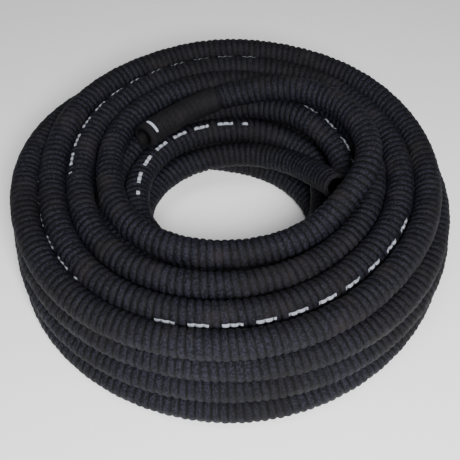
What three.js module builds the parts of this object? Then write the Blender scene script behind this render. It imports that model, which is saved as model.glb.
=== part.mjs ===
// A coil of wire-ribbed rubber hose lying on the floor, with its two cut ends loose.
// Millimetres, +Z up. The origin is on the floor, in the middle of the coil.

import * as THREE from 'three';

// Hose
const hoseDiameter = 25.4;
const boreDiameter = 16;
const hoseRadius = hoseDiameter / 2;

// Coil: turns lie side by side in each level, each level lies on the one below,
// and the levels draw in a little on the way up
const outerTurnRadius = 198;
const levelInset = 3.5;
const turnGap = 0.6;
const turnsInLevel = [5, 4, 4, 3];
const turnPitch = hoseDiameter + turnGap;
const levelPitch = hoseDiameter;

// Facets
const arcStep = 24;
const coilFacets = 32;
const tubeSides = 10;
const tubeSteps = 32;

// A loose stretch clears the turn that it lies on or against by this much
const restGap = 0.3;
const spacing = hoseDiameter + restGap;

const rubber = {
    color: 0x1c1c20,
    roughness: 0.85,
    metalness: 0,
};

// The lowest turns rest on one facet each, so the first level stands that facet's depth up
const restAngle = THREE.MathUtils.degToRad(arcStep / 2);
const firstLevelHeight = hoseRadius * Math.cos(restAngle);

const topLevel = turnsInLevel.length - 1;
const levelHeight = (level) => firstLevelHeight + level * levelPitch;
const turnRadius = (column, level) => outerTurnRadius - level * levelInset - column * turnPitch;

// Points round one turn of the coil's section, from one direction to another in degrees
function turnArc(column, level, from, to) {
    const steps = Math.round((to - from) / arcStep);
    const points = [];
    for (let i = 0; i <= steps; i++) {
        const angle = THREE.MathUtils.degToRad(from + (to - from) * i / steps);
        points.push(new THREE.Vector2(
            turnRadius(column, level) + hoseRadius * Math.cos(angle),
            levelHeight(level) + hoseRadius * Math.sin(angle),
        ));
    }
    return points;
}

// How far each side's arc reaches past the side's own direction, at the floor's corners, and
// where the level below steps further in
const overlapAngle = 2.5 * arcStep;
const cornerAngle = 2.75 * arcStep;
const stepAngle = 225;

// The section goes along the floor, up the outside, and down the stepped inside
function coilSection() {
    const points = [];
    const innermost = turnsInLevel[0] - 1;
    for (let column = innermost; column >= 0; column--) {
        const from = column === innermost ? 180 - cornerAngle : 270 - overlapAngle;
        const to = column === 0 ? 360 + cornerAngle : 270 + overlapAngle;
        points.push(...turnArc(column, 0, from, to));
    }
    for (let level = 1; level < topLevel; level++) {
        points.push(...turnArc(0, level, -overlapAngle, overlapAngle));
    }
    points.push(...turnArc(0, topLevel, -overlapAngle, 90 + overlapAngle));
    for (let level = topLevel; level > 0; level--) {
        const last = turnsInLevel[level] - 1;
        const first = level === topLevel ? 1 : turnsInLevel[level + 1];
        for (let column = first; column < last; column++) {
            points.push(...turnArc(column, level, 90 - overlapAngle, 90 + overlapAngle));
        }
        const stepsBelow = turnsInLevel[level - 1] > turnsInLevel[level];
        const from = first > last ? 180 - overlapAngle : 90 - overlapAngle;
        points.push(...turnArc(last, level, from, stepsBelow ? stepAngle : 180 + overlapAngle));
    }
    points.push(points[0].clone());
    return points;
}

function coilGeometry() {
    const geometry = new THREE.LatheGeometry(coilSection(), coilFacets);
    geometry.rotateX(Math.PI / 2);
    return geometry;
}

// A hollow hose along a smooth curve through the points
function hoseGeometry(points) {
    const path = new THREE.CatmullRomCurve3(points, false, 'centripetal');
    const wall = new THREE.Shape();
    const bore = new THREE.Path();
    for (let i = 0; i < tubeSides; i++) {
        const angle = 2 * Math.PI * i / tubeSides;
        const [x, y] = [Math.cos(angle), Math.sin(angle)];
        const step = i === 0 ? 'moveTo' : 'lineTo';
        wall[step](hoseRadius * x, hoseRadius * y);
        bore[step](boreDiameter / 2 * x, -boreDiameter / 2 * y);
    }
    wall.closePath();
    bore.closePath();
    wall.holes.push(bore);
    return new THREE.ExtrudeGeometry(wall, { steps: tubeSteps, extrudePath: path });
}

// The innermost turn of a level
const innerTurn = (level) => ({
    radius: turnRadius(turnsInLevel[level] - 1, level),
    height: levelHeight(level),
});

// A point of a loose stretch: its direction in degrees, and how many hose spacings outward and up
// it is from the turn that it lies against
function beside(turn, direction, outward, up) {
    const angle = THREE.MathUtils.degToRad(direction);
    const radius = turn.radius + outward * spacing;
    return new THREE.Vector3(
        radius * Math.cos(angle),
        radius * Math.sin(angle),
        turn.height + up * spacing,
    );
}

// The last outer turn: it lies inside the top level's turns, climbs over them on the right,
// and comes down at the back to its cut end
const topTurn = innerTurn(topLevel);
const outerEndRoute = [
    beside(topTurn, 176, -1.03, 0.03),
    beside(topTurn, 196, -1.05, 0.03),
    beside(topTurn, 213, -1.18, 0.03),
    beside(topTurn, 230, -1.3, 0.03),
    beside(topTurn, 249, -1.47, 0.03),
    beside(topTurn, 268, -1.55, 0.03),
    beside(topTurn, 288, -1.5, 0.03),
    beside(topTurn, 306, -1.33, 0.05),
    beside(topTurn, 321, -1.13, 0.16),
    beside(topTurn, 334, -0.88, 0.58),
    beside(topTurn, 346, -0.42, 0.92),
    beside(topTurn, 0, -0.19, 0.99),
    beside(topTurn, 16, -0.16, 0.995),
    beside(topTurn, 32, -0.27, 0.975),
    beside(topTurn, 46, -0.48, 0.9),
    beside(topTurn, 59, -0.73, 0.72),
    beside(topTurn, 72, -0.97, 0.5),
    beside(topTurn, 86, -1.1, 0.22),
    beside(topTurn, 103, -1.29, 0.03),
    beside(topTurn, 122, -1.55, -0.03),
    beside(topTurn, 144, -1.5, 0),
];

// The last inner turn: it lies on the lowest level's inner turn and lifts to its cut end
const floorTurn = innerTurn(0);
const innerEndRoute = [
    beside(floorTurn, 290, -0.2, 1),
    beside(floorTurn, 265, -0.2, 1),
    beside(floorTurn, 240, -0.2, 1),
    beside(floorTurn, 215, -0.2, 1),
    beside(floorTurn, 190, -0.28, 0.99),
    beside(floorTurn, 165, -0.4, 0.94),
    beside(floorTurn, 140, -0.5, 0.89),
    beside(floorTurn, 115, -0.56, 0.93),
    beside(floorTurn, 93, -0.56, 0.98),
    beside(floorTurn, 72, -0.45, 1.06),
    beside(floorTurn, 54, -0.41, 1.26),
    beside(floorTurn, 37, -0.36, 1.52),
    beside(floorTurn, 21, -0.37, 1.92),
    beside(floorTurn, 6, -0.27, 2.36),
    beside(floorTurn, -4, -0.04, 2.68),
    beside(floorTurn, -12, 0.27, 2.93),
];

function piece(name, geometry) {
    const mesh = new THREE.Mesh(geometry, new THREE.MeshStandardMaterial(rubber));
    mesh.name = name;
    return mesh;
}

const hose = new THREE.Group();
hose.add(piece('hose_coil', coilGeometry()));
hose.add(piece('outer_end', hoseGeometry(outerEndRoute)));
hose.add(piece('inner_end', hoseGeometry(innerEndRoute)));

export default hose;
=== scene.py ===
"""A coil of wire-ribbed rubber hose, with its two cut ends lying loose on and in the coil."""

import math

import bmesh
import bpy
import numpy as np
from mathutils import Matrix, Vector


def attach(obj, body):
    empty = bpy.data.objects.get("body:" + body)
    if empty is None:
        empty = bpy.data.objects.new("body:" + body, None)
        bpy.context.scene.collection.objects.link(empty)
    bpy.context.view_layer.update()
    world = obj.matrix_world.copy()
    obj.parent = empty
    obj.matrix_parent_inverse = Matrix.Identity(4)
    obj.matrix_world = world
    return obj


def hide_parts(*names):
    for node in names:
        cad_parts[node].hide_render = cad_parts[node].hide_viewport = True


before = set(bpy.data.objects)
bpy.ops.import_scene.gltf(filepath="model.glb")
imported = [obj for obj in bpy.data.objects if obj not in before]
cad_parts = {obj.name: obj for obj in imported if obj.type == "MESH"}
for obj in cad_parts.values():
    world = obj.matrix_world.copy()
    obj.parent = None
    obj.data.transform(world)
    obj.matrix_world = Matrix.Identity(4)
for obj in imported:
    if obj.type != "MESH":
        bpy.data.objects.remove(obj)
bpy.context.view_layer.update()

MM = 0.001

# Corners this near are one, and edges this short are none, in metres
SAME_PLACE = 2e-5
NO_EDGE = 1e-6

# Hose, in millimetres
HOSE_DIAMETER = 25.4
BORE_DIAMETER = 16.0
HOSE_RADIUS = HOSE_DIAMETER / 2
RIB_PITCH = 6.4
RIB_DEPTH = 1.35
BORE_DEPTH = 110.0
BORE_STEP = 8
CUT_BEVEL = 0.6

# The same places as the solids have: levels, and the turns that the loose ends lie against
OUTER_TURN_RADIUS = 198.0
LEVEL_INSET = 3.5
TURN_PITCH = HOSE_DIAMETER + 0.6
SPACING = HOSE_DIAMETER + 0.3
REST_ANGLE = math.radians(12)
FLOOR_LEVEL = HOSE_RADIUS * math.cos(REST_ANGLE)
LEVELS = [FLOOR_LEVEL + level * HOSE_DIAMETER for level in range(4)]
TOP_TURN = (OUTER_TURN_RADIUS - 3 * LEVEL_INSET - 2 * TURN_PITCH, LEVELS[3])
FLOOR_TURN = (OUTER_TURN_RADIUS - 4 * TURN_PITCH, LEVELS[0])

# Loose ends: direction in degrees, then hose spacings outward and up from the turn that each
# end lies against
INNER_END_ROUTE = [
    (-12, 0.27, 2.93),
    (-4, -0.04, 2.68),
    (6, -0.27, 2.36),
    (21, -0.37, 1.92),
    (37, -0.36, 1.52),
    (54, -0.41, 1.26),
    (72, -0.45, 1.06),
    (93, -0.56, 0.98),
    (115, -0.56, 0.93),
    (140, -0.5, 0.89),
    (165, -0.4, 0.94),
    (190, -0.28, 0.99),
    (215, -0.2, 1),
    (240, -0.2, 1),
    (265, -0.2, 1),
    (290, -0.2, 1),
]
OUTER_END_ROUTE = [
    (176, -1.03, 0.03),
    (196, -1.05, 0.03),
    (213, -1.18, 0.03),
    (230, -1.3, 0.03),
    (249, -1.47, 0.03),
    (268, -1.55, 0.03),
    (288, -1.5, 0.03),
    (306, -1.33, 0.05),
    (321, -1.13, 0.16),
    (334, -0.88, 0.58),
    (346, -0.42, 0.92),
    (360, -0.19, 0.99),
    (376, -0.16, 0.995),
    (392, -0.27, 0.975),
    (406, -0.48, 0.9),
    (419, -0.73, 0.72),
    (432, -0.97, 0.5),
    (446, -1.1, 0.22),
    (463, -1.29, 0.03),
    (482, -1.55, -0.03),
    (504, -1.5, 0),
]

# The unwrapped direction grows along the whole hose, by 360 degrees a turn.
# Turns of the levels, hidden or outside: a row has the unwrapped direction that it starts at,
# then radii and heights, an eighth of a turn apart
L1, L2, L3, L4 = LEVELS
EIGHTH = 45
LEVEL_TURNS = [
    # Third and second levels
    (1035, [124, 139, 140, 139, 139, 139, 139, 139], [L3] * 8),
    (1395, [149, 164, 165, 165, 165, 165, 165, 165], [L3] * 8),
    (1755, [172, 169, 165, 162, 162, 162, 162, 162], [L3, 54, L2, L2, L2, L2, L2, L2]),
    (2115, [158, 150, 138, 136, 136, 136, 136, 130], [L2] * 8),
    # Floor level, from the eye outwards
    (2475, [122, 117, 112, 104, 94, 94, 94, 94], [L2, 37, 29, 15, L1, L1, L1, L1]),
    (2835, [94, 94, 95, 98, 118, 126, 126, 126], [L1] * 8),
    (3195, [126, 126, 126, 129, 148, 161, 162, 162], [L1] * 8),
    (3555, [162, 162, 162, 162, 170, 190, 194, 199], [L1] * 8),
    # Outside turns, climbing one level a turn at the back
    (3915, [196, 199, 197, 195, 194, 190, 193, 193], [L1, L1, L1, L1, 25, L2, L2, L2]),
    (4275, [196, 202, 198, 194, 192, 188, 189, 186], [L2, L2, L2, L2, 50, L3, L3, L3]),
]

# Turns that show in the eye and on top: unwrapped direction, radius and height
INNER_TURNS = [
    (315, 91, L2),
    (345, 91, L2),
    (362, 94, 38),
    (382, 104, 41),
    (405, 107, 46),
    (425, 101, 55),
    (450, 94, L3),
    (495, 90, L3),
    (540, 87, L3),
    (585, 90, L3),
    (630, 93, L3),
    (675, 97, L3),
    (705, 106, L3),
    (720, 114, 70),
    (732, 119, 78),
    (745, 118, 84),
    (765, 114, 88),
    (795, 110, 80),
    (825, 111, 68),
    (855, 113, L3),
    (900, 113, L3),
    (945, 113, L3),
    (990, 115, L3),
]
OUTER_TURNS = [
    (4635, 191, L3),
    (4680, 197, L3),
    (4725, 195, L3),
    (4770, 194, L3),
    (4810, 195, 65),
    (4832, 192, 72),
    (4850, 185, 83),
    (4868, 180, L4),
    (4890, 181, L4),
    (4910, 186, L4),
    (4950, 185, L4),
    (4995, 179, L4),
    (5040, 183, L4),
    (5085, 194, L4),
    (5130, 194, 89),
    (5150, 185, 90),
    (5170, 177, 93),
    (5190, 171, 95),
    (5205, 166, 91),
    (5220, 163, L4),
    (5265, 166, L4),
    (5310, 157, L4),
    (5355, 151, L4),
    (5400, 157, L4),
    (5445, 164, L4),
    (5490, 162, L4),
    (5535, 147, L4),
    (5580, 139, L4),
    (5625, 136, L4),
    (5670, 128, L4),
    (5715, 129, L4),
    (5760, 140, L4),
    (5805, 141, L4),
    (5850, 138, L4),
    (5895, 130, L4),
]
OUTER_END_START = 5760

# The hose's pieces: unwrapped directions that each runs between, sides, rings to a rib, and the
# solid that it stands for
PIECES = [
    ("hose_inner_end", -12, 1035, 32, 6, "inner_end"),
    ("hose_hidden_turns", 1035, 2610, 12, 4, "hose_coil"),
    ("hose_floor_turns", 2610, 4050, 24, 6, "hose_coil"),
    ("hose_outside_turns", 4050, 4800, 32, 6, "hose_coil"),
    ("hose_top_turns", 4800, 5900, 32, 6, "hose_coil"),
    ("hose_outer_end", 5900, 6264, 32, 6, "outer_end"),
]


def stations():
    """Unwrapped direction, radius and height of every place that the route is chosen at."""
    rows = [
        (direction, FLOOR_TURN[0] + outward * SPACING, FLOOR_TURN[1] + up * SPACING)
        for direction, outward, up in INNER_END_ROUTE
    ]
    rows += INNER_TURNS
    for start, radii, heights in LEVEL_TURNS:
        for step, (radius, height) in enumerate(zip(radii, heights)):
            rows.append((start + step * EIGHTH, radius, height))
    rows += OUTER_TURNS
    for direction, outward, up in OUTER_END_ROUTE:
        rows.append((
            OUTER_END_START + direction,
            TOP_TURN[0] + outward * SPACING,
            TOP_TURN[1] + up * SPACING,
        ))
    return np.array(rows)


def smooth(values, width):
    """Gaussian smoothing along the first axis, with the ends' slopes kept."""
    reach = int(3 * width)
    kernel = np.exp(-0.5 * (np.arange(-reach, reach + 1) / width) ** 2)
    kernel /= kernel.sum()
    before = 2 * values[0] - values[reach:0:-1]
    after = 2 * values[-1] - values[-2:-reach - 2:-1]
    padded = np.concatenate([before, values, after])
    columns = [np.convolve(column, kernel, mode="valid") for column in padded.T]
    return np.stack(columns, axis=1)


def arc_lengths(points):
    """How far along the line each point is."""
    steps = np.linalg.norm(np.diff(points, axis=0), axis=1)
    return np.concatenate([[0], np.cumsum(steps)])


def resample(points, step, *extra):
    """Points a step apart along the line, with extra columns carried along."""
    lengths = arc_lengths(points)
    count = int(round(lengths[-1] / step)) + 1
    at = np.linspace(0, lengths[-1], count)
    out = np.stack([np.interp(at, lengths, column) for column in points.T], axis=1)
    return [out] + [np.interp(at, lengths, values) for values in extra]


# How the turns settle against each other: the step along the hose in millimetres, the rounds, how
# many steps apart two places count as two turns, and how much of each push and move is kept
SETTLE_STEP = 9.0
SETTLE_ROUNDS = 90
SETTLE_SKIP = 7
PUSH_SHARE = 0.4
MOVE_KEPT = 0.99
MOVE_SMOOTHED = 0.6
MOVE_WIDTH = 1.5
NO_LENGTH = 0.01
HIDDEN_SPAN = (1000, 3600)
LOOSE_GIVE = 0.03
VISIBLE_GIVE = 0.2

# Smoothing of the chosen places, in degrees, and of the settled line, in millimetres
PLACE_WIDTH = 7
LINE_WIDTH = 6


def give_of(direction):
    """How easily each point is pushed aside: hidden turns most, the loose ends least."""
    give = np.full(len(direction), VISIBLE_GIVE)
    give[(direction > HIDDEN_SPAN[0]) & (direction < HIDDEN_SPAN[1])] = 1
    give[direction < INNER_END_ROUTE[-1][0]] = LOOSE_GIVE
    give[direction > OUTER_END_START + OUTER_END_ROUTE[0][0]] = LOOSE_GIVE
    return give


def settle(points, give):
    """Pushes touching turns apart to a hose diameter, above the floor."""
    start = points.copy()
    index = np.arange(len(points))
    apart = np.abs(index[:, None] - index[None]) >= SETTLE_SKIP
    for _ in range(SETTLE_ROUNDS):
        squared = (points ** 2).sum(1)
        distance = squared[:, None] + squared[None] - 2 * points @ points.T
        first, second = np.nonzero(np.triu((distance < HOSE_DIAMETER ** 2) & apart))
        gap = points[first] - points[second]
        length = np.maximum(np.linalg.norm(gap, axis=1), NO_LENGTH)
        push = gap / length[:, None] * (HOSE_DIAMETER - length)[:, None] * PUSH_SHARE
        share = (give[first] / (give[first] + give[second]))[:, None]
        shift = np.zeros_like(points)
        np.add.at(shift, first, push * share)
        np.add.at(shift, second, -push * (1 - share))
        moved = (points + shift - start) * MOVE_KEPT
        smoothed = MOVE_SMOOTHED * smooth(moved, MOVE_WIDTH)
        points = start + (1 - MOVE_SMOOTHED) * moved + smoothed
        points[:, 2] = np.maximum(points[:, 2], FLOOR_LEVEL)
    return points


def hose_route():
    """The hose's centre line, a point each millimetre, with each point's unwrapped direction."""
    rows = stations()
    direction = np.arange(rows[0, 0], rows[-1, 0] + 0.5, 1.0)
    polar = np.stack([np.interp(direction, rows[:, 0], rows[:, k]) for k in (1, 2)], axis=1)
    radius, height = smooth(polar, PLACE_WIDTH).T
    angle = np.radians(direction)
    line = np.stack([radius * np.cos(angle), radius * np.sin(angle), height], axis=1)
    line, direction = resample(line, SETTLE_STEP, direction)
    line = settle(line, give_of(direction))
    line, direction = resample(line, 1.0, direction)
    return smooth(line, LINE_WIDTH), direction


def frames_along(line):
    """Two sideways directions at each point, turning as little as the line allows."""
    tangent = np.gradient(line, axis=0)
    tangent /= np.linalg.norm(tangent, axis=1)[:, None]
    side = np.zeros_like(line)
    current = np.cross(tangent[0], [0, 0, 1])
    for i, ahead in enumerate(tangent):
        current = current - current.dot(ahead) * ahead
        current /= np.linalg.norm(current)
        side[i] = current
    return side, np.cross(tangent, side)


route, route_direction = hose_route()
route_length = arc_lengths(route)
route_side, route_up = frames_along(route)
HOSE_LENGTH = route_length[-1]

# Ribs: height of the surface through one rib, from groove to groove
RIB_PHASE = [0, 0.12, 0.27, 0.5, 0.73, 0.88, 1]
RIB_SHAPE = [0, 0.45, 0.88, 1, 0.88, 0.45, 0]

# Ribs wander a little: share of a rib, and millimetres along the hose to a radian of the wave
SLOW_WANDER = (0.05, 17.0)
QUICK_WANDER = (0.04, 7.3)
WANDER_ROUND = 6

# Groove depths run from the first share of the rib depth up to the sum of both. The rib's number
# is scrambled by the sine's long tail.
DEPTH_SHARE = (0.72, 0.4)
SCRAMBLE = (12.9898, 43758.5453)

# The stretch at the outer end has low ribs, and a kink where they start
CUFF_LENGTH = 92.0
CUFF_FADE = 12
CUFF_RIB_SHARE = 0.25
KINK_WIDTH = 2.4
KINK_DEPTH = 2.0

# The cloth that the hose was wrapped in leaves low lumps all over it
LUMP_HEIGHT = 0.16
LUMP_LENGTH = 3.1
LUMP_SWING = 4
LUMP_DRIFT = 37.0


def rib_height(along, turn):
    """How full the rib is at each place, 0 in a groove and 1 on a crest."""
    slow = SLOW_WANDER[0] * np.sin(along / SLOW_WANDER[1])
    quick = QUICK_WANDER[0] * np.sin(along / QUICK_WANDER[1] + WANDER_ROUND * turn)
    uneven = slow + quick
    phase = (along / RIB_PITCH - turn + uneven) % 1.0
    return np.interp(phase, RIB_PHASE, RIB_SHAPE)


def rib_depth(along, turn):
    """Groove depth: no two ribs are alike."""
    rib = np.floor(along / RIB_PITCH - turn)
    chance = np.abs(np.sin(rib * SCRAMBLE[0]) * SCRAMBLE[1]) % 1.0
    return RIB_DEPTH * (DEPTH_SHARE[0] + DEPTH_SHARE[1] * chance)


def cuff_share(along):
    """1 on the outer end's smooth stretch, 0 where the ribs are full."""
    from_end = HOSE_LENGTH - along
    return np.clip((CUFF_LENGTH - from_end) / CUFF_FADE + 0.5, 0, 1)


def surface_radius(along, turn):
    """The outer surface's distance from the centre line, with ribs, kink and lumps."""
    share = cuff_share(along)
    depth = rib_depth(along, turn) * (1 - (1 - CUFF_RIB_SHARE) * share)
    groove = depth * (1 - rib_height(along, turn))
    kink = KINK_DEPTH * np.exp(-(((HOSE_LENGTH - CUFF_LENGTH - along) / KINK_WIDTH) ** 2))
    swing = LUMP_SWING * np.sin(2 * np.pi * turn + along / LUMP_DRIFT)
    lumps = LUMP_HEIGHT * np.sin(along / LUMP_LENGTH + swing)
    return HOSE_RADIUS - groove - kink + lumps - LUMP_HEIGHT


def sample(values, along):
    """Values of the route's points, read at distances along it."""
    return np.stack([np.interp(along, route_length, column) for column in values.T], axis=-1)


def place(along, turn, radius):
    """A point beside the centre line, by its distance along, its turn round and its radius."""
    angle = 2 * np.pi * turn
    centre = sample(route, along)
    side = sample(route_side, along)
    up = sample(route_up, along)
    around = side * np.cos(angle)[..., None] + up * np.sin(angle)[..., None]
    around /= np.linalg.norm(around, axis=-1)[..., None]
    return (centre + around * radius[..., None]) * MM


def ribbed_wall(start, end, sides, rings):
    """The outer surface between two lengths. Its rows follow the ribs' helix."""
    row_step = RIB_PITCH / rings
    first = math.floor(start / row_step) - rings
    last = math.ceil(end / row_step) + rings + 1
    rows = np.arange(first, last + 1)
    turn = np.arange(sides) / sides
    along = rows[:, None] * row_step + RIB_PITCH * turn[None]
    along = np.clip(along, start, end)
    turn = np.broadcast_to(turn, along.shape)
    count = len(rows)
    corner = np.arange(count * sides).reshape(count, sides)
    plain = np.stack([
        corner[:-1, :-1], corner[:-1, 1:], corner[1:, 1:], corner[1:, :-1],
    ], axis=-1).reshape(-1, 4)
    wrap = np.stack([
        corner[:-1 - rings, -1], corner[rings:-1, 0], corner[rings + 1:, 0],
        corner[1:count - rings, -1],
    ], axis=-1)
    return along.ravel(), turn.ravel(), np.concatenate([plain, wrap])


class HoseSurface:
    """One stretch of the hose as a closed surface, with a deep bore at a cut end."""

    def __init__(self, start, end, sides, rings):
        along, turn, faces = ribbed_wall(start, end, sides, rings)
        self.sides = sides
        self.along = [along]
        self.turn = [turn]
        self.radius = [surface_radius(along, turn)]
        self.faces = [tuple(face) for face in faces]
        self.total = len(along)

    def add_row(self, at, radius):
        """A ring of corners at one length, and their numbers."""
        self.along.append(np.full(self.sides, float(at)))
        self.turn.append(np.arange(self.sides) / self.sides)
        self.radius.append(np.broadcast_to(radius, (self.sides,)).astype(float))
        self.total += self.sides
        return list(range(self.total - self.sides, self.total))

    def join(self, row, following, flip):
        """Faces between two rings."""
        for k in range(self.sides):
            n = (k + 1) % self.sides
            face = (row[k], row[n], following[n], following[k])
            self.faces.append(face[::-1] if flip else face)

    def close(self, at, inward, is_cut):
        """Caps one end. A cut end has its wall's face and its bore first."""
        edge = surface_radius(np.full(self.sides, float(at)), np.arange(self.sides) / self.sides)
        row = self.add_row(at, edge)
        flip = inward > 0
        if is_cut:
            bore_radius = BORE_DIAMETER / 2
            steps = [
                (at, edge - CUT_BEVEL),
                (at, bore_radius + CUT_BEVEL),
                (at + inward * CUT_BEVEL, bore_radius),
            ]
            for depth in np.arange(BORE_STEP, BORE_DEPTH, BORE_STEP):
                steps.append((at + inward * depth, bore_radius))
            for step_at, step_radius in steps:
                following = self.add_row(step_at, step_radius)
                self.join(row, following, flip)
                row = following
        self.faces.append(tuple(row if flip else row[::-1]))


def hose_piece(name, start, end, sides, rings):
    """One stretch of the hose as an object, with what its material reads at each corner."""
    surface = HoseSurface(start, end, sides, rings)
    surface.close(start, 1, start == 0)
    surface.close(end, -1, end == HOSE_LENGTH)
    along = np.concatenate(surface.along)
    turn = np.concatenate(surface.turn)
    radius = np.concatenate(surface.radius)
    mesh = bpy.data.meshes.new(name)
    mesh.from_pydata(place(along, turn, radius).tolist(), [], surface.faces)
    values = {
        "along": along,
        "rib": rib_height(along, turn),
        "cuff": cuff_share(along),
        "bore": (radius < BORE_DIAMETER / 2 + CUT_BEVEL / 2).astype(float),
        "lay": lay_offset(along, turn),
        "marked": marked_share(along),
        "bar": bar_share(along, turn),
    }
    for key, column in values.items():
        layer = mesh.attributes.new(key, "FLOAT", "POINT")
        layer.data.foreach_set("value", column.astype(np.float32))
    work = bmesh.new()
    work.from_mesh(mesh)
    bmesh.ops.remove_doubles(work, verts=work.verts, dist=SAME_PLACE)
    bmesh.ops.dissolve_degenerate(work, edges=work.edges, dist=NO_EDGE)
    bmesh.ops.recalc_face_normals(work, faces=work.faces)
    work.to_mesh(mesh)
    work.free()
    mesh.shade_smooth()
    piece = bpy.data.objects.new(name, mesh)
    bpy.context.scene.collection.objects.link(piece)
    return piece


# The lay line's plain dashes, and the bar beside the outer end, in millimetres
DASH_PITCH = 25.0
DASH_SHARE = 0.62
DASH_WIDTH = 3.4
BAR_FROM_END = 9.5
BAR_WIDTH = 1.5
BAR_TURN = 0.68
BAR_SHARE = 0.11
BAR_SHARPNESS = 5

# Where the lay line shows, by unwrapped direction
MARKED_SPANS = [(436, 545), (722, 774), (5188, 5262), (5286, 5376), (5476, 5580)]

# Where the lay line runs round the hose, as a share of a turn: 0 outward, 0.75 up
LAY_LINE = [
    (-12, 0.70),
    (430, 0.70),
    (545, 0.71),
    (722, 0.87),
    (774, 0.86),
    (5188, 0.99),
    (5262, 0.98),
    (5286, 0.97),
    (5376, 0.93),
    (5476, 0.83),
    (5580, 0.84),
    (6264, 0.84),
]


def lay_offset(along, turn):
    """Signed distance round the hose from the lay line, in millimetres."""
    direction = np.interp(along, route_length, route_direction)
    line = np.interp(direction, *zip(*LAY_LINE))
    off = (turn - line + 0.5) % 1.0 - 0.5
    return off * 2 * np.pi * HOSE_RADIUS


class Shading:
    """Adds nodes to a material and joins them up."""

    def __init__(self, material):
        self.tree = material.node_tree
        self.shader = self.tree.nodes["Principled BSDF"]

    def put(self, target, value):
        if isinstance(value, bpy.types.NodeSocket):
            self.tree.links.new(value, target)
        else:
            target.default_value = value

    def add(self, kind, **settings):
        node = self.tree.nodes.new(kind)
        for key, value in settings.items():
            setattr(node, key, value)
        return node

    def math(self, operation, first, second=0.0, third=0.0):
        node = self.add("ShaderNodeMath", operation=operation)
        for socket, value in zip(node.inputs, (first, second, third)):
            self.put(socket, value)
        return node.outputs[0]

    def read(self, name):
        return self.add("ShaderNodeAttribute", attribute_name=name).outputs["Fac"]

    def noise(self, scale, detail, roughness=0.55):
        node = self.add("ShaderNodeTexNoise")
        node.inputs["Scale"].default_value = scale
        node.inputs["Detail"].default_value = detail
        node.inputs["Roughness"].default_value = roughness
        self.put(node.inputs["Vector"], self.place())
        return node.outputs["Fac"]

    def place(self):
        return self.add("ShaderNodeTexCoord").outputs["Object"]

    def ramp(self, value, low, high, to_low=0.0, to_high=1.0):
        node = self.add("ShaderNodeMapRange", clamp=True, interpolation_type="SMOOTHSTEP")
        for key, number in (("From Min", low), ("From Max", high),
                            ("To Min", to_low), ("To Max", to_high)):
            node.inputs[key].default_value = number
        self.put(node.inputs["Value"], value)
        return node.outputs["Result"]

    def mix(self, share, first, second):
        node = self.add("ShaderNodeMix", data_type="RGBA")
        self.put(node.inputs["Factor"], share)
        for key, value in (("A", first), ("B", second)):
            socket = [i for i in node.inputs if i.name == key and i.type == "RGBA"][0]
            self.put(socket, value)
        return [o for o in node.outputs if o.type == "RGBA"][0]


# Colours of the rubber, its dust, the painted shade in its grooves, and its lay line
RUBBER = (0.0020, 0.0021, 0.0038, 1)
RUBBER_LIGHT = (0.0150, 0.0150, 0.0255, 1)
# Painted shade, mixed into the grooves between the ribs
GROOVE_SHADE = (0.0006, 0.0006, 0.0008, 1)
CUFF_RUBBER = (0.0050, 0.0042, 0.0047, 1)
DUST = (0.042, 0.033, 0.031, 1)
BORE_RUBBER = (0.0015, 0.0015, 0.0018, 1)
LAY_WHITE = (0.46, 0.49, 0.55, 1)


def marked_share(along):
    """1 where the lay line shows, 0 elsewhere."""
    direction = np.interp(along, route_length, route_direction)
    share = np.zeros(len(along))
    for first, last in MARKED_SPANS:
        share[(direction > first) & (direction < last)] = 1
    return share


def bar_share(along, turn):
    """How near each place is to the bar beside the outer end: over 0.5 on it."""
    from_bar = np.abs(HOSE_LENGTH - BAR_FROM_END - along) / BAR_WIDTH
    off = np.abs((turn - BAR_TURN + 0.5) % 1.0 - 0.5) / BAR_SHARE
    return np.clip(1 - 0.5 * from_bar, 0, 1) * np.clip(0.5 + BAR_SHARPNESS * (1 - off), 0, 1)


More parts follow.
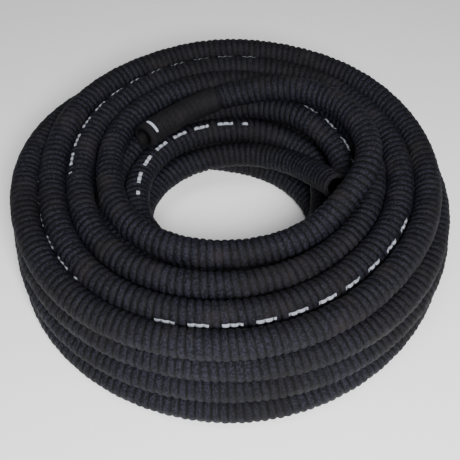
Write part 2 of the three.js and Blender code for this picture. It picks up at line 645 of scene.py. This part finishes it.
def rubber_material():
    """Black rubber with a cloth-wrapped grain, dull ribs, painted shade in the grooves and a
    little dust.
    """
    material = bpy.data.materials.new("hose_rubber")
    material.use_nodes = True
    shade = Shading(material)
    rib = shade.read("rib")
    cuff = shade.read("cuff")
    bore = shade.read("bore")

    # Grain of the cloth, finest to broadest
    grain = shade.noise(1500, 2)
    fine = shade.noise(620, 3)
    broad = shade.noise(38, 4)
    patch = shade.noise(9, 3)

    colour = shade.mix(shade.ramp(fine, 0.40, 0.62), RUBBER, RUBBER_LIGHT)
    colour = shade.mix(shade.ramp(patch, 0.42, 0.62, 0.0, 0.45), colour, CUFF_RUBBER)
    colour = shade.mix(shade.math("MULTIPLY", cuff, 0.8), colour, CUFF_RUBBER)
    # Painted shade: the grooves between the ribs are darkened, except on the smooth stretch at
    # the outer end
    groove_shade = shade.ramp(rib, 0.05, 0.85, 1.0, 0.0)
    groove_shade = shade.math("MULTIPLY", groove_shade, shade.math("SUBTRACT", 1.0, cuff))
    colour = shade.mix(groove_shade, colour, GROOVE_SHADE)

    # Brownish dust on the crests, in specks and worn patches
    specks = shade.ramp(shade.noise(900, 2), 0.62, 0.74)
    worn = shade.ramp(broad, 0.52, 0.72)
    separate = shade.add("ShaderNodeSeparateXYZ")
    shade.put(separate.inputs[0], shade.place())
    high = shade.ramp(separate.outputs["Z"], 0.055, 0.095, 0.3, 1.0)
    dust = shade.math("MULTIPLY", specks, shade.math("MULTIPLY_ADD", worn, 0.6, 0.15))
    dust = shade.math("MULTIPLY_ADD", worn, 0.16, dust)
    colour = shade.mix(shade.math("MULTIPLY", dust, high), colour, DUST)

    # Plain white dashes of the lay line, worn thin, and missing in the grooves
    waver = shade.math("SUBTRACT", shade.noise(260, 2), 0.5)
    offset = shade.math("ABSOLUTE", shade.math("MULTIPLY_ADD", waver, 1.2, shade.read("lay")))
    in_line = shade.ramp(offset, DASH_WIDTH / 2 - 0.4, DASH_WIDTH / 2 + 0.3, 1.0, 0.0)
    dash = shade.math("FRACT", shade.math("DIVIDE", shade.read("along"), DASH_PITCH))
    in_dash = shade.math("LESS_THAN", dash, DASH_SHARE)
    kept = shade.ramp(shade.noise(700, 4, 0.7), 0.34, 0.50, 0.35)
    white = shade.math("MULTIPLY", in_line, in_dash)
    white = shade.math("MULTIPLY", white, shade.read("marked"))
    white = shade.math("MULTIPLY", white, shade.ramp(rib, 0.1, 0.6, 0.35, 1.0))
    white = shade.math("MULTIPLY", white, kept)
    white = shade.math("MAXIMUM", white, shade.ramp(shade.read("bar"), 0.45, 0.6))
    colour = shade.mix(shade.math("MULTIPLY", white, 0.8), colour, LAY_WHITE)

    colour = shade.mix(bore, colour, BORE_RUBBER)
    shade.put(shade.shader.inputs["Base Color"], colour)
    roughness = shade.ramp(broad, 0.3, 0.7, 0.52, 0.72)
    shade.put(shade.shader.inputs["Roughness"], roughness)
    shade.put(shade.shader.inputs["Specular IOR Level"], 0.15)

    bump = shade.add("ShaderNodeBump")
    shade.put(bump.inputs["Strength"], 1.0)
    shade.put(bump.inputs["Distance"], 0.0011)
    height = shade.math("MULTIPLY", grain, 0.45)
    height = shade.math("MULTIPLY_ADD", fine, 0.9, height)
    height = shade.math("MULTIPLY_ADD", broad, 0.6, height)
    shade.put(bump.inputs["Height"], height)
    shade.put(shade.shader.inputs["Normal"], bump.outputs["Normal"])
    return material


def add_hose():
    """The hose's pieces, each hung on the root body in place of the solid that it stands for."""
    rubber = rubber_material()
    for name, first, last, sides, rings, solid in PIECES:
        start, end = np.interp((first, last), route_direction, route_length)
        piece = hose_piece(name, start, end, sides, rings)
        piece.data.materials.append(rubber)
        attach(piece, "root")
        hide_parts(solid)


# Camera, at the photograph's angle
CAMERA_PLACE = Vector((-0.0258, -0.4873, 0.5715))
CAMERA_ELEVATION = math.radians(49.0)
CAMERA_AZIMUTH = math.radians(3.29)
CAMERA_ROLL = math.radians(0.28)
FOCAL_PIXELS = 736.5
IMAGE_PIXELS = 460
SENSOR_WIDTH = 36

# Lights: place, size and power
KEY_LIGHT = ((0.08, -0.74, 0.74), 0.3, 19)
TOP_LIGHT = ((-0.2, -0.3, 1.6), 0.7, 6)
LIGHT_AIM = Vector((0, 0, 0.05))


def add_camera():
    data = bpy.data.cameras.new("camera")
    data.sensor_fit = "HORIZONTAL"
    data.sensor_width = SENSOR_WIDTH
    data.lens = FOCAL_PIXELS / IMAGE_PIXELS * SENSOR_WIDTH
    data.clip_start = 0.01
    camera = bpy.data.objects.new("camera", data)
    bpy.context.scene.collection.objects.link(camera)
    ahead = Vector((
        math.sin(CAMERA_AZIMUTH) * math.cos(CAMERA_ELEVATION),
        math.cos(CAMERA_AZIMUTH) * math.cos(CAMERA_ELEVATION),
        -math.sin(CAMERA_ELEVATION),
    ))
    turn = ahead.to_track_quat("-Z", "Y").to_matrix()
    turn = turn @ Matrix.Rotation(-CAMERA_ROLL, 3, "Z")
    camera.matrix_world = Matrix.Translation(CAMERA_PLACE) @ turn.to_4x4()
    bpy.context.scene.camera = camera


def add_floor():
    bpy.ops.mesh.primitive_plane_add(size=8)
    floor = bpy.context.object
    floor.name = "floor"
    material = bpy.data.materials.new("floor_white")
    material.use_nodes = True
    shader = material.node_tree.nodes["Principled BSDF"]
    shader.inputs["Base Color"].default_value = (0.97, 0.97, 0.97, 1)
    shader.inputs["Roughness"].default_value = 0.9
    floor.data.materials.append(material)


def add_light(name, place, size, watts):
    data = bpy.data.lights.new(name, "AREA")
    data.shape = "DISK"
    data.size = size
    data.energy = watts
    light = bpy.data.objects.new(name, data)
    bpy.context.scene.collection.objects.link(light)
    light.location = place
    light.rotation_euler = (LIGHT_AIM - Vector(place)).to_track_quat("-Z", "Y").to_euler()


def add_world():
    world = bpy.data.worlds.new("studio")
    world.use_nodes = True
    background = world.node_tree.nodes["Background"]
    background.inputs["Color"].default_value = (1, 1, 1, 1)
    background.inputs["Strength"].default_value = 0.27
    bpy.context.scene.world = world


add_hose()
add_camera()
add_floor()
add_world()
add_light("key", *KEY_LIGHT)
add_light("top", *TOP_LIGHT)
